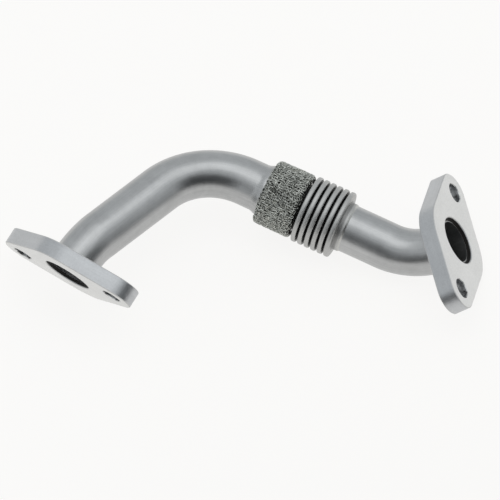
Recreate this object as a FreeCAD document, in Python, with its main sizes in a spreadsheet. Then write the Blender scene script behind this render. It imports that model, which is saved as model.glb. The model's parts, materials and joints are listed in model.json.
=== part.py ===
import FreeCAD, Part
import math
import os
import Sketcher

# A stainless exhaust gas recirculation pipe, in millimetres, +Z up. Two bent tubes are joined by a
# bellows, and each tube ends in a two-bolt flange. The inlet tube is flared into a socket for the
# bellows' neck, and a ring of knitted wire sits on the socket. The pipe lies as it comes to rest: on
# both flanges and on the underside of the bellows end. The origin is on the floor, under the middle
# of the pipe's box, and +X runs to the outlet.

DOCUMENT = FreeCAD.newDocument("egr_pipe")

# Driving dimensions, in millimetres and degrees
SIZES = [
    # Flanges: two bolt holes in line with the bore, and an outline that is tangent to three circles
    ("flange_thickness", 8.0),
    ("bolt_spacing", 56.0),
    ("bolt_hole", 9.0),
    ("flange_end_radius", 9.5),
    ("flange_waist_radius", 21.0),
    ("flange_chamfer", 0.4),
    # Tubes: the end straights are counted from the flange faces
    ("tube_diameter", 22.0),
    ("tube_wall", 1.2),
    ("tube_to_bore", 0.25),
    ("tube_recess", 1.8),
    ("inlet_bend_radius", 36.0),
    ("inlet_end_straight", 8.0),
    ("inlet_flange_angle", 12.0),
    ("inlet_first_bend_angle", 24.5),
    ("inlet_leg", 38.0),
    ("inlet_plane_angle", -53.8),
    ("inlet_second_bend_angle", 68.3),
    ("inlet_last_straight", 3.0),
    ("flare_length", 6.0),
    ("flare_rise", 1.0),
    ("socket_length", 17.9),
    ("outlet_bend_radius", 32.0),
    ("outlet_first_straight", 21.5),
    ("outlet_plane_angle", -125.6),
    ("outlet_bend_angle", 49.6),
    ("outlet_end_straight", 8.0),
    ("outlet_flange_angle", 35.1),
    # Bellows: one neck slips into the inlet tube's socket, the other over the outlet tube
    ("bellows_diameter", 31.6),
    ("bellows_wall", 0.4),
    ("convolution_pitch", 3.25),
    ("convolution_count", 6),
    ("crest_width", 2.2),
    ("crest_rise", 0.5),
    ("neck_clearance", 0.05),
    ("inlet_neck", 12.0),
    ("socket_to_bellows", 0.8),
    ("outlet_neck", 2.2),
    # Wire ring: it slips over the socket and widens towards the bellows
    ("ring_to_socket", 0.05),
    ("ring_length", 18.4),
    ("ring_small_wall", 2.05),
    ("ring_large_wall", 2.95),
    ("ring_edge", 1.0),
    ("course_count", 6),
    ("course_rise", 0.5),
    ("wale_count", 20),
    ("wale_depth", 0.6),
    # Weld seams
    ("port_weld_setback", 0.7),
    ("port_weld_width", 1.1),
    ("inlet_seam_height", 0.8),
    ("outlet_seam_length", 0.8),
    # Attitude of the inlet flange when the pipe lies at rest
    ("rest_yaw_angle", -47.36),
    ("rest_pitch_angle", -25.47),
    ("rest_roll_angle", -63.94),
]

SHEET = DOCUMENT.addObject("Spreadsheet::Sheet", "sizes")
for row, (alias, number) in enumerate(SIZES, start=1):
    SHEET.set(f"A{row}", alias.replace("_", " "))
    SHEET.set(f"B{row}", str(number))
    SHEET.setAlias(f"B{row}", alias)
DOCUMENT.recompute()

# Sizes that several pieces share, as expressions on the sheet
TUBE_OUTER = "sizes.tube_diameter / 2"
TUBE_INNER = "(sizes.tube_diameter / 2 - sizes.tube_wall)"
BORE = "(sizes.tube_diameter / 2 + sizes.tube_to_bore)"
SOCKET_OUTER = "(sizes.tube_diameter / 2 + sizes.flare_rise)"
SOCKET_INNER = "(sizes.tube_diameter / 2 + sizes.flare_rise - sizes.tube_wall)"
ROOT_INNER = "(sizes.tube_diameter / 2 + sizes.neck_clearance)"
ROOT_OUTER = "(sizes.tube_diameter / 2 + sizes.neck_clearance + sizes.bellows_wall)"
INLET_NECK_OUTER = f"({SOCKET_INNER} - sizes.neck_clearance)"
INLET_NECK_INNER = f"({SOCKET_INNER} - sizes.neck_clearance - sizes.bellows_wall)"
BELLOWS_LENGTH = (
    "(sizes.inlet_neck + sizes.convolution_pitch * sizes.convolution_count + sizes.outlet_neck)"
)


def value(expression):
    """The number that an expression on the sheet stands for."""
    result = SHEET.evalExpression(expression)
    return float(getattr(result, "Value", result))


def arc_radius(chord, rise):
    """The radius, as an expression, of an arc of a given chord and height."""
    return f"(({chord} ^ 2 / 4 + {rise} ^ 2) / (2 * {rise}))"


# Places along the pipe: +Z runs down the tube, and a bend turns it towards +Y

def ahead(length):
    """A step straight down the tube."""
    return FreeCAD.Placement(FreeCAD.Vector(0, 0, length), FreeCAD.Rotation())


def turned(angle):
    """A turn of the bend plane about the tube's own axis."""
    return FreeCAD.Placement(FreeCAD.Vector(), FreeCAD.Rotation(FreeCAD.Vector(0, 0, 1), angle))


def bent(radius, angle):
    """A step round a bend of the tube."""
    centre = FreeCAD.Vector(0, radius, 0)
    rotation = FreeCAD.Rotation(FreeCAD.Vector(-1, 0, 0), angle)
    return FreeCAD.Placement(FreeCAD.Vector(), rotation, centre)


def tipped(angle):
    """A turn about the tube's X axis: 180 looks back along the tube, 90 lays a half section."""
    return FreeCAD.Placement(FreeCAD.Vector(), FreeCAD.Rotation(FreeCAD.Vector(1, 0, 0), angle))


# Sketches

def origin_item(body, role):
    """One of a body's own origin planes or axes."""
    return next(item for item in body.Origin.OriginFeatures if item.Role == role)


def new_body(name):
    """An empty body whose label names its sub-part."""
    body = DOCUMENT.addObject("PartDesign::Body", name)
    body.Label = name
    return body


def new_sketch(body, name, plane="XY_Plane", offset=None):
    """A sketch on one of the body's own planes, moved off it by a placement."""
    sketch = body.newObject("Sketcher::SketchObject", name)
    sketch.AttachmentSupport = [(origin_item(body, plane), "")]
    sketch.MapMode = "FlatFace"
    if offset is not None:
        sketch.AttachmentOffset = offset
    return sketch


def bind(sketch, name, constraint, expression):
    """Add a dimension to a sketch and tie it to the sheet."""
    index = sketch.addConstraint(constraint)
    sketch.renameConstraint(index, name)
    sketch.setExpression(f"Constraints.{name}", expression)


def place_point(sketch, name, geometry, point, x, y):
    """Fix a sketch point at two expressions, each measured from the sketch's origin."""
    for kind, letter, axis, expression in (("DistanceX", "x", -2, x), ("DistanceY", "y", -1, y)):
        distance = value(expression)
        label = f"{name}_{letter}"
        if expression == "0":
            sketch.addConstraint(Sketcher.Constraint("PointOnObject", geometry, point, axis))
        elif distance > 0:
            bind(sketch, label, Sketcher.Constraint(kind, -1, 1, geometry, point, distance), expression)
        else:
            backwards = Sketcher.Constraint(kind, geometry, point, -1, 1, -distance)
            bind(sketch, label, backwards, f"-({expression})")


def draw_circle(sketch, name, diameter, x="0", y="0"):
    """A circle whose diameter and centre are expressions."""
    centre = FreeCAD.Vector(value(x), value(y), 0)
    circle = Part.Circle(centre, FreeCAD.Vector(0, 0, 1), value(diameter) / 2)
    geometry = sketch.addGeometry(circle, False)
    place_point(sketch, name, geometry, 3, x, y)
    bind(sketch, f"{name}_d", Sketcher.Constraint("Diameter", geometry, value(diameter)), diameter)


def draw_outline(sketch, corners):
    """A closed outline. Each corner is (x, y, bend): bend is None where a straight edge leaves it,
    or (radius, side) for an arc whose centre lies to the left (1) or right (-1) of the way on."""
    points = [FreeCAD.Vector(value(x), value(y), 0) for x, y, bend in corners]
    edges = []
    for index, (x, y, bend) in enumerate(corners):
        start = points[index]
        end = points[(index + 1) % len(points)]
        if bend is None:
            geometry = sketch.addGeometry(Part.LineSegment(start, end), False)
            edges.append((geometry, 1, 2))
            continue
        radius = value(bend[0])
        chord = end - start
        leftwards = FreeCAD.Vector(-chord.y, chord.x, 0).normalize()
        height = math.sqrt(radius ** 2 - (chord.Length / 2) ** 2)
        centre = (start + end) * 0.5 + leftwards * height * bend[1]
        first, last = (start, end) if bend[1] > 0 else (end, start)
        angles = [math.atan2(p.y - centre.y, p.x - centre.x) for p in (first, last)]
        circle = Part.Circle(centre, FreeCAD.Vector(0, 0, 1), radius)
        geometry = sketch.addGeometry(Part.ArcOfCircle(circle, angles[0], angles[1]), False)
        edges.append((geometry, 1, 2) if bend[1] > 0 else (geometry, 2, 1))
    for index, (geometry, head, tail) in enumerate(edges):
        following, next_head, _ = edges[(index + 1) % len(edges)]
        sketch.addConstraint(Sketcher.Constraint("Coincident", geometry, tail, following, next_head))
        x, y, bend = corners[index]
        place_point(sketch, f"corner{index}", geometry, head, x, y)
        if bend is not None:
            dimension = Sketcher.Constraint("Radius", geometry, value(bend[0]))
            bind(sketch, f"bend{index}", dimension, bend[0])


# Features

def extrude(body, kind, name, sketch, length=None, flip=False):
    """A pad or pocket, of a length on the sheet or else right through."""
    feature = body.newObject(f"PartDesign::{kind}", name)
    feature.Profile = sketch
    feature.Reversed = flip
    if length is None:
        feature.Type = "ThroughAll"
    else:
        feature.setExpression("Length", length)
    sketch.Visibility = False
    return feature


def revolve(body, name, sketch, axis="V_Axis", angle="360", flip=False):
    """A solid turned about an axis of its own sketch."""
    feature = body.newObject("PartDesign::Revolution", name)
    feature.Profile = sketch
    feature.ReferenceAxis = (sketch, [axis])
    feature.setExpression("Angle", angle)
    feature.Reversed = flip
    sketch.Visibility = False
    return feature


def flange_body(name):
    """A two-bolt flange, from its gasket face at Z = 0 towards +Z, with its bolts along X."""
    body = new_body(name)
    half = "(sizes.bolt_spacing / 2)"
    slope = f"((sizes.flange_waist_radius - sizes.flange_end_radius) / {half})"
    rise = f"sqrt(1 - {slope} ^ 2)"
    waist_x = f"sizes.flange_waist_radius * {slope}"
    waist_y = f"sizes.flange_waist_radius * {rise}"
    end_x = f"({half} + sizes.flange_end_radius * {slope})"
    end_y = f"sizes.flange_end_radius * {rise}"
    end_arc = ("sizes.flange_end_radius", -1)
    waist_arc = ("sizes.flange_waist_radius", -1)
    outline = new_sketch(body, f"{name}_outline")
    draw_outline(outline, [
        (waist_x, waist_y, None),
        (end_x, end_y, end_arc),
        (end_x, f"-{end_y}", None),
        (waist_x, f"-{waist_y}", waist_arc),
        (f"-{waist_x}", f"-{waist_y}", None),
        (f"-{end_x}", f"-{end_y}", end_arc),
        (f"-{end_x}", end_y, None),
        (f"-{waist_x}", waist_y, waist_arc),
    ])
    extrude(body, "Pad", f"{name}_plate", outline, "sizes.flange_thickness")
    holes = new_sketch(body, f"{name}_hole_layout")
    draw_circle(holes, "bore", f"2 * {BORE}")
    draw_circle(holes, "bolt_one", "sizes.bolt_hole", half)
    draw_circle(holes, "bolt_two", "sizes.bolt_hole", f"-{half}")
    drilled = extrude(body, "Pocket", f"{name}_holes", holes, flip=True)
    DOCUMENT.recompute()
    chamfer = body.newObject("PartDesign::Chamfer", f"{name}_edges")
    chamfer.Base = (drilled, face_edges(drilled.Shape, value("sizes.flange_thickness")))
    chamfer.setExpression("Size", "sizes.flange_chamfer")
    return body


def face_edges(shape, thickness):
    """The names of the edges that lie in a plate's two faces."""
    names = []
    for index, edge in enumerate(shape.Edges, start=1):
        heights = [vertex.Z for vertex in edge.Vertexes]
        flat = max(heights) - min(heights) < 1e-6
        if flat and min(abs(heights[0]), abs(heights[0] - thickness)) < 1e-6:
            names.append(f"Edge{index}")
    return names


def tube_body(name, route):
    """A bent tube from its start at Z = 0. The route holds ("straight", length),
    ("bend", radius, angle, turn of the bend plane) and ("socket", flare length, whole length).
    Returns the body and the place of its end."""
    body = new_body(name)
    here = FreeCAD.Placement()
    for number, step in enumerate(route, start=1):
        if step[0] == "socket":
            section = new_sketch(body, f"{name}_section{number}", offset=here.multiply(tipped(90)))
            draw_outline(section, [
                (TUBE_INNER, "0", None),
                (TUBE_OUTER, "0", None),
                (SOCKET_OUTER, step[1], None),
                (SOCKET_OUTER, step[2], None),
                (SOCKET_INNER, step[2], None),
                (SOCKET_INNER, step[1], None),
            ])
            revolve(body, f"{name}_socket", section)
            here = here.multiply(ahead(value(step[2])))
            continue
        if step[0] == "bend":
            here = here.multiply(turned(value(step[3])))
        ring = new_sketch(body, f"{name}_section{number}", offset=here)
        draw_circle(ring, "outside", "sizes.tube_diameter")
        draw_circle(ring, "inside", f"2 * {TUBE_INNER}")
        if step[0] == "straight":
            extrude(body, "Pad", f"{name}_straight{number}", ring, step[1])
            here = here.multiply(ahead(value(step[1])))
            continue
        radius = value(step[1])
        start = FreeCAD.Vector(-radius, radius, 0)
        end = FreeCAD.Vector(radius, radius, 0)
        pivot = ring.addGeometry(Part.LineSegment(start, end), True)
        place_point(ring, "pivot_start", pivot, 1, f"-({step[1]})", step[1])
        place_point(ring, "pivot_end", pivot, 2, step[1], step[1])
        revolve(body, f"{name}_bend{number}", ring, "Axis0", step[2], flip=True)
        here = here.multiply(bent(radius, value(step[2])))
    return body, here


def bellows_body():
    """The bellows from the open edge of its inlet neck at Z = 0, with its axis along +Z. A small
    shoulder widens that neck to the root of the first convolution."""
    body = new_body("bellows")
    shoulder_start = "(sizes.inlet_neck - sizes.bellows_wall)"
    neck = new_sketch(body, "bellows_inlet_neck_section", "XZ_Plane")
    draw_outline(neck, [
        (INLET_NECK_INNER, "0", None),
        (INLET_NECK_OUTER, "0", None),
        (INLET_NECK_OUTER, shoulder_start, None),
        (ROOT_OUTER, shoulder_start, None),
        (ROOT_OUTER, "sizes.inlet_neck", None),
        (INLET_NECK_INNER, "sizes.inlet_neck", None),
    ])
    revolve(body, "bellows_inlet_neck", neck)

    # One convolution, from the middle of a root to the middle of the next
    groove = "((sizes.convolution_pitch - sizes.crest_width) / 2)"
    wall = "sizes.bellows_wall"
    start = "sizes.inlet_neck"
    end = "(sizes.inlet_neck + sizes.convolution_pitch)"
    shoulder = "(sizes.bellows_diameter / 2 - sizes.crest_rise)"
    crest = arc_radius("sizes.crest_width", "sizes.crest_rise")
    wave = new_sketch(body, "bellows_wave_section", "XZ_Plane")
    draw_outline(wave, [
        (ROOT_INNER, start, None),
        (ROOT_OUTER, start, None),
        (ROOT_OUTER, f"({start} + {groove})", None),
        (shoulder, f"({start} + {groove})", (crest, 1)),
        (shoulder, f"({end} - {groove})", None),
        (ROOT_OUTER, f"({end} - {groove})", None),
        (ROOT_OUTER, end, None),
        (ROOT_INNER, end, None),
        (ROOT_INNER, f"({end} - {groove} - {wall})", None),
        (shoulder, f"({end} - {groove} - {wall})", None),
        (shoulder, f"({start} + {groove} + {wall})", None),
        (ROOT_INNER, f"({start} + {groove} + {wall})", None),
    ])
    first = revolve(body, "bellows_wave", wave)
    DOCUMENT.recompute()
    waves = body.newObject("PartDesign::LinearPattern", "bellows_waves")
    waves.Originals = [first]
    waves.Direction = (origin_item(body, "Z_Axis"), [""])
    waves.setExpression("Occurrences", "sizes.convolution_count")
    waves.setExpression("Length", "sizes.convolution_pitch * (sizes.convolution_count - 1)")
    body.Tip = waves

    far = f"({BELLOWS_LENGTH} - sizes.outlet_neck)"
    neck = new_sketch(body, "bellows_outlet_neck_section", "XZ_Plane")
    draw_outline(neck, [
        (ROOT_INNER, far, None),
        (ROOT_OUTER, far, None),
        (ROOT_OUTER, BELLOWS_LENGTH, None),
        (ROOT_INNER, BELLOWS_LENGTH, None),
    ])
    revolve(body, "bellows_outlet_neck", neck)
    return body


def wire_ring_body():
    """The ring of knitted wire from its narrow end at Z = 0: courses run round it as ridges, and
    wales cross them as V-shaped flutes that follow its taper."""
    body = new_body("wire_ring")
    courses = round(value("sizes.course_count"))
    inside = f"({SOCKET_OUTER} + sizes.ring_to_socket)"
    small = f"({inside} + sizes.ring_small_wall - sizes.course_rise)"
    large = f"({inside} + sizes.ring_large_wall - sizes.course_rise)"
    edge = "sizes.ring_edge"
    course = f"((sizes.ring_length - 2 * {edge}) / sizes.course_count)"
    corners = [(inside, "0", None), (f"({small} - {edge})", "0", None)]
    for step in range(2 * courses + 1):
        valley = f"{small} + ({large} - {small}) * {step} / (2 * sizes.course_count)"
        rise = "sizes.course_rise" if step % 2 else "0"
        corners.append((f"({valley} + {rise})", f"({edge} + {course} * {step} / 2)", None))
    corners += [
        (f"({large} - {edge})", "sizes.ring_length", None),
        (inside, "sizes.ring_length", None),
    ]
    section = new_sketch(body, "wire_ring_courses", "XZ_Plane")
    draw_outline(section, corners)
    revolve(body, "wire_ring_knit", section)

    # The flute's sketch leans outwards, so that the cut follows the taper
    widening = (value(large) - value(small)) / value("sizes.ring_length")
    lean = FreeCAD.Rotation(FreeCAD.Vector(0, 1, 0), math.degrees(math.atan(widening)))
    foot = FreeCAD.Vector(value(small), 0, 0)
    flute = new_sketch(body, "wire_ring_wale", offset=FreeCAD.Placement(foot, lean))
    draw_outline(flute, [
        ("-sizes.wale_depth", "0", None),
        ("sizes.wale_depth", "-sizes.wale_depth", None),
        ("sizes.wale_depth", "sizes.wale_depth", None),
    ])
    cut = extrude(body, "Pocket", "wire_ring_flute", flute, flip=True)
    DOCUMENT.recompute()
    wales = body.newObject("PartDesign::PolarPattern", "wire_ring_wales")
    wales.Originals = [cut]
    wales.Axis = (origin_item(body, "Z_Axis"), [""])
    wales.Angle = 360
    wales.setExpression("Occurrences", "sizes.wale_count")
    body.Tip = wales
    return body


def port_weld_body(name):
    """The weld inside a flange's bore, from the plane of the gasket face at Z = 0: it joins the
    tube's set-back end to the wall of the bore."""
    body = new_body(name)
    section = new_sketch(body, f"{name}_section", "XZ_Plane")
    draw_outline(section, [
        (BORE, "sizes.port_weld_setback", None),
        (f"({BORE} - sizes.port_weld_width)", "sizes.tube_recess", None),
        (BORE, "sizes.tube_recess", None),
    ])
    revolve(body, f"{name}_bead", section)
    return body


def neck_seam_body(name, inner, outer, length):
    """The tapered weld seam in the corner between the outside of one wall, at the inner radius, and
    the open edge of the wall round it, at Z = 0. It runs along +Z."""
    body = new_body(name)
    section = new_sketch(body, f"{name}_section", "XZ_Plane")
    draw_outline(section, [
        (inner, "0", None),
        (outer, "0", None),
        (inner, length, None),
    ])
    revolve(body, f"{name}_bead", section)
    return body


# The pipe, from the inlet flange's gasket face to the outlet flange's

attitude = FreeCAD.Rotation(
    value("sizes.rest_yaw_angle"), value("sizes.rest_pitch_angle"), value("sizes.rest_roll_angle"),
)
inlet_face = FreeCAD.Placement(FreeCAD.Vector(), attitude)
recess = ahead(value("sizes.tube_recess"))

inlet_flange = flange_body("inlet_flange")
inlet_flange.Placement = inlet_face.multiply(turned(value("sizes.inlet_flange_angle")))
inlet_weld = port_weld_body("inlet_port_weld")
inlet_weld.Placement = inlet_face

inlet_tube, inlet_run = tube_body("inlet_tube", [
    ("straight", "(sizes.inlet_end_straight - sizes.tube_recess)"),
    ("bend", "sizes.inlet_bend_radius", "sizes.inlet_first_bend_angle", "0"),
    ("straight", "sizes.inlet_leg"),
    ("bend", "sizes.inlet_bend_radius", "sizes.inlet_second_bend_angle", "sizes.inlet_plane_angle"),
    ("straight", "sizes.inlet_last_straight"),
    ("socket", "sizes.flare_length", "(sizes.flare_length + sizes.socket_length)"),
])
inlet_tube.Placement = inlet_face.multiply(recess)
inlet_tube_end = inlet_tube.Placement.multiply(inlet_run)

bellows = bellows_body()
neck_depth = "(sizes.inlet_neck - sizes.bellows_wall - sizes.socket_to_bellows)"
bellows.Placement = inlet_tube_end.multiply(ahead(-value(neck_depth)))
wire_ring = wire_ring_body()
wire_ring.Placement = inlet_tube_end.multiply(ahead(-value("sizes.socket_length")))
inlet_seam_edge = f"({INLET_NECK_OUTER} + sizes.inlet_seam_height)"
inlet_seam = neck_seam_body(
    "inlet_neck_seam", INLET_NECK_OUTER, inlet_seam_edge, "sizes.socket_to_bellows",
)
inlet_seam.Placement = inlet_tube_end
bellows_end = bellows.Placement.multiply(ahead(value(BELLOWS_LENGTH)))
outlet_seam = neck_seam_body("outlet_neck_seam", TUBE_OUTER, ROOT_OUTER, "sizes.outlet_seam_length")
outlet_seam.Placement = bellows_end

outlet_tube, outlet_run = tube_body("outlet_tube", [
    ("straight", "sizes.outlet_first_straight"),
    ("bend", "sizes.outlet_bend_radius", "sizes.outlet_bend_angle", "sizes.outlet_plane_angle"),
    ("straight", "(sizes.outlet_end_straight - sizes.tube_recess)"),
])
outlet_tube.Placement = bellows_end.multiply(ahead(-value("sizes.outlet_neck")))
outlet_face = outlet_tube.Placement.multiply(outlet_run).multiply(recess).multiply(tipped(180))
outlet_flange = flange_body("outlet_flange")
outlet_flange.Placement = outlet_face.multiply(turned(-value("sizes.outlet_flange_angle")))
outlet_weld = port_weld_body("outlet_port_weld")
outlet_weld.Placement = outlet_face

PIECES = [
    inlet_flange, inlet_weld, inlet_tube, inlet_seam, bellows, wire_ring,
    outlet_seam, outlet_tube, outlet_flange, outlet_weld,
]

# Move the pipe to its origin, on the floor and under the middle of its box
DOCUMENT.recompute()
box = FreeCAD.BoundBox()
for piece in PIECES:
    box.add(piece.Shape.optimalBoundingBox(False))
origin = FreeCAD.Vector(box.Center.x, box.Center.y, box.ZMin)
for piece in PIECES:
    piece.Placement = FreeCAD.Placement(-origin, FreeCAD.Rotation()).multiply(piece.Placement)
DOCUMENT.recompute()

# Check and export
for item in DOCUMENT.Objects:
    if {"Invalid", "Error"} & set(item.State):
        raise RuntimeError(f"{item.Name} didn't build: {item.State}")
os.makedirs("parts", exist_ok=True)
for piece in PIECES:
    shape = piece.Shape
    if shape.isNull() or not shape.isValid() or len(shape.Solids) != 1:
        raise RuntimeError(f"{piece.Label} isn't one valid solid")
    shape.exportStep(f"parts/{piece.Label}.step")
    print(f"{piece.Label}: {shape.Volume / 1000:.2f} cm3, {len(shape.Faces)} faces")
print(f"size {box.XLength:.1f} x {box.YLength:.1f} x {box.ZLength:.1f} mm")
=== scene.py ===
# %% [markdown]
# A stainless exhaust gas pipe lies on a pale studio floor. Two bent tubes meet in a bellows, a ring
# of knitted wire sits beside the bellows, and each tube ends in a two-bolt flange. The flanges come
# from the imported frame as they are. The tubes, bellows, wire ring and weld beads are modelled here,
# each in the place that the frame gives it.

# %% The frame and its box
import json
import math
import bmesh
import bpy
from mathutils import Matrix, Vector, noise


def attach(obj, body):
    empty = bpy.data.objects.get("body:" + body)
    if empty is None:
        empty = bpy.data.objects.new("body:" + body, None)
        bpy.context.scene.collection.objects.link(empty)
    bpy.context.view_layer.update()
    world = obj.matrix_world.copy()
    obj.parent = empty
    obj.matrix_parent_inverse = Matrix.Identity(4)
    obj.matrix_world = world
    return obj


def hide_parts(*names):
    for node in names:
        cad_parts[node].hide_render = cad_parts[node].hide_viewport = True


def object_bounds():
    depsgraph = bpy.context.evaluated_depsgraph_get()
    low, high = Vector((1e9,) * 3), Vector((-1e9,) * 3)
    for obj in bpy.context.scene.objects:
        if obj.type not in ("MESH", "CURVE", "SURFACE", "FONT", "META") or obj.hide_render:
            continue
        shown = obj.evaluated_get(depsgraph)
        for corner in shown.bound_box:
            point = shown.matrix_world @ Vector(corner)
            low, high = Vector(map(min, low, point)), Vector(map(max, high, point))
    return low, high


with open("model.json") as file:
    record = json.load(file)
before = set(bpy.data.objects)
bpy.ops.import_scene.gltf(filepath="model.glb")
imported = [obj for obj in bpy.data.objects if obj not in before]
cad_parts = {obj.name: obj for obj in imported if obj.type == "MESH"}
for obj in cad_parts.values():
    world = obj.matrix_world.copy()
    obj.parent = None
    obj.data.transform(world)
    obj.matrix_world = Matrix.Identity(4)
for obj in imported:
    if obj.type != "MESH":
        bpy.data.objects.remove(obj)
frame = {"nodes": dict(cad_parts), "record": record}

cad_low, cad_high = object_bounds()
MM = 0.001
print("CAD box in mm:", [round((b - a) / MM, 1) for a, b in zip(cad_low, cad_high)])

# %% [markdown]
# Everything along the pipe is placed by walking down its centre line, as a tube bender would. The
# walk starts at the inlet's gasket face: the frame's record gives the face's centre, its outward
# normal and the line of its bolts. Each straight or bend then carries the place onwards, with +Z
# always down the tube and each bend turning towards +Y. The inlet tube ends in a flare and a wider
# socket, which takes the neck of the bellows.

# %% Lengths and angles of the pipe
TUBE_RADIUS = 11 * MM
TUBE_WALL = 1.2 * MM
BORE_RADIUS = 11.25 * MM
TUBE_RECESS = 1.8 * MM
INLET_FLANGE_ANGLE = 12.0
OUTLET_FLANGE_ANGLE = 35.1
INLET_BEND_RADIUS = 36 * MM
OUTLET_BEND_RADIUS = 32 * MM
SOCKET_RISE = 1 * MM
SOCKET_LENGTH = 17.9 * MM
INLET_ROUTE = [
    ("straight", 6.2 * MM),
    ("bend", INLET_BEND_RADIUS, 24.5, 0.0),
    ("straight", 38 * MM),
    ("bend", INLET_BEND_RADIUS, 68.3, -53.8),
    ("straight", 5.5 * MM),
    ("flare", 3.5 * MM, SOCKET_RISE),
    ("straight", SOCKET_LENGTH),
]
OUTLET_ROUTE = [
    ("straight", 21.5 * MM),
    ("bend", OUTLET_BEND_RADIUS, 49.6, -125.6),
    ("straight", 6.2 * MM),
]


# %% Steps down the tube
def ahead(length):
    """A step straight down the tube."""
    return Matrix.Translation((0, 0, length))


def turned(degrees):
    """A turn about the tube's own axis."""
    return Matrix.Rotation(math.radians(degrees), 4, "Z")


def bent(radius, degrees):
    """A step round a bend towards +Y."""
    pivot = Matrix.Translation((0, radius, 0))
    return pivot @ Matrix.Rotation(-math.radians(degrees), 4, "X") @ pivot.inverted()


def walk(place, route):
    """The place at the end of a route."""
    for kind, *numbers in route:
        if kind == "bend":
            radius, angle, plane_turn = numbers
            place = place @ turned(plane_turn) @ bent(radius, angle)
        else:
            place = place @ ahead(numbers[0])
    return place


# %% The inlet face, from the record's mounts
mounts = {m["name"]: m for m in frame["record"]["mounts"]}
face_centre = Vector(mounts["inlet_bolts"]["pos_m"])
into_the_pipe = -Vector(mounts["inlet_bolts"]["axis"]).normalized()
bolt_line = (Vector(mounts["inlet_face"]["pos_m"]) - face_centre).normalized()
inlet_flange_place = Matrix.Translation(face_centre) @ Matrix((
    bolt_line, into_the_pipe.cross(bolt_line), into_the_pipe,
)).transposed().to_4x4()
inlet_face = inlet_flange_place @ turned(-INLET_FLANGE_ANGLE)
inlet_tube_place = inlet_face @ ahead(TUBE_RECESS)
inlet_tube_end = walk(inlet_tube_place, INLET_ROUTE)

# %% The bellows, the outlet tube and the outlet face
NECK_DEPTH = 10.8 * MM
INLET_NECK = 12 * MM
OUTLET_NECK = 2.2 * MM
WAVES = 6
PITCH = 3.25 * MM
BELLOWS_LENGTH = INLET_NECK + WAVES * PITCH + OUTLET_NECK
REVERSED = Matrix.Rotation(math.pi, 4, "X")
bellows_place = inlet_tube_end @ ahead(-NECK_DEPTH)
ring_place = inlet_tube_end @ ahead(-SOCKET_LENGTH)
bellows_end = bellows_place @ ahead(BELLOWS_LENGTH)
outlet_tube_place = bellows_end @ ahead(-OUTLET_NECK)
outlet_face = walk(outlet_tube_place, OUTLET_ROUTE) @ ahead(TUBE_RECESS) @ REVERSED
outlet_flange_place = outlet_face @ turned(-OUTLET_FLANGE_ANGLE)
outlet_centre = Vector(mounts["outlet_bolts"]["pos_m"])
print("walk misses the outlet face by mm:",
      round((outlet_face.translation - outlet_centre).length / MM, 4))

# %% [markdown]
# The photograph was taken from in front and well above with a long lens, so the camera stands far
# back and looks down by about fifty degrees. The numbers were fitted to the bolt holes, the bores
# and the line of the tube. The width of the view says how long the lens is.

# %% The camera
CAMERA_AZIMUTH = 0.13
CAMERA_ELEVATION = 51.06
CAMERA_ROLL = -0.23
CAMERA_DISTANCE = 4.0
VIEW_WIDTH = 0.2259
AIM_RIGHT = 2.56 * MM
AIM_UP = 7.28 * MM
SENSOR_WIDTH = 36.0


def camera_axes(azimuth, elevation, roll):
    """The camera's own right, up and backward directions."""
    turn = Matrix.Rotation(math.radians(-azimuth), 3, "Z")
    tilt = Matrix.Rotation(math.radians(90 - elevation), 3, "X")
    spin = Matrix.Rotation(math.radians(roll), 3, "Z")
    return turn @ tilt @ spin


axes = camera_axes(CAMERA_AZIMUTH, CAMERA_ELEVATION, CAMERA_ROLL)
aim = axes @ Vector((AIM_RIGHT, AIM_UP, 0))
camera_data = bpy.data.cameras.new("studio_camera")
camera_data.sensor_width = SENSOR_WIDTH
camera_data.lens = SENSOR_WIDTH * CAMERA_DISTANCE / VIEW_WIDTH
camera_data.clip_end = 20
camera = bpy.data.objects.new("studio_camera", camera_data)
camera.matrix_world = Matrix.Translation(aim + axes @ Vector((0, 0, CAMERA_DISTANCE))) @ axes.to_4x4()
bpy.context.collection.objects.link(camera)
bpy.context.scene.camera = camera
print("lens in mm:", round(camera_data.lens))

# %% [markdown]
# Every new piece is modelled about its own Z axis, where its sizes are easy to read, and is moved
# into the pipe when it is done. Before the move, each point keeps its modelling position in an
# attribute called lay. For a bent tube it keeps the place that the point had on the straight tube
# before it was bent. The finishes read this attribute, so their marks follow the metal.

# %% Helpers for modelling
SEGMENTS = 96


def nothing_selected():
    """Back to object mode, with nothing selected."""
    active = bpy.context.view_layer.objects.active
    if active and active.mode != "OBJECT":
        bpy.ops.object.mode_set(mode="OBJECT")
    bpy.ops.object.select_all(action="DESELECT")


def start_editing(piece, kind="VERT"):
    """Edit one piece, with nothing in it selected."""
    nothing_selected()
    piece.select_set(True)
    bpy.context.view_layer.objects.active = piece
    bpy.ops.object.mode_set(mode="EDIT")
    bpy.ops.mesh.select_mode(type=kind)
    bpy.ops.mesh.select_all(action="DESELECT")


def pick_points(piece, wanted):
    """Select the points of the edited piece for which wanted(position) is true."""
    mesh = bmesh.from_edit_mesh(piece.data)
    for vertex in mesh.verts:
        vertex.select = wanted(vertex.co)
    mesh.select_flush_mode()
    bmesh.update_edit_mesh(piece.data)


def give_wall(piece, thickness):
    """Thicken a skin inwards. The faces of the inside take the piece's second material."""
    nothing_selected()
    bpy.context.view_layer.objects.active = piece
    outside = len(piece.data.polygons)
    modifier = piece.modifiers.new("wall", "SOLIDIFY")
    modifier.thickness = thickness
    modifier.offset = -1
    modifier.use_even_offset = True
    bpy.ops.object.modifier_apply(modifier="wall")
    for face in piece.data.polygons[outside:]:
        face.material_index = 1


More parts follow.
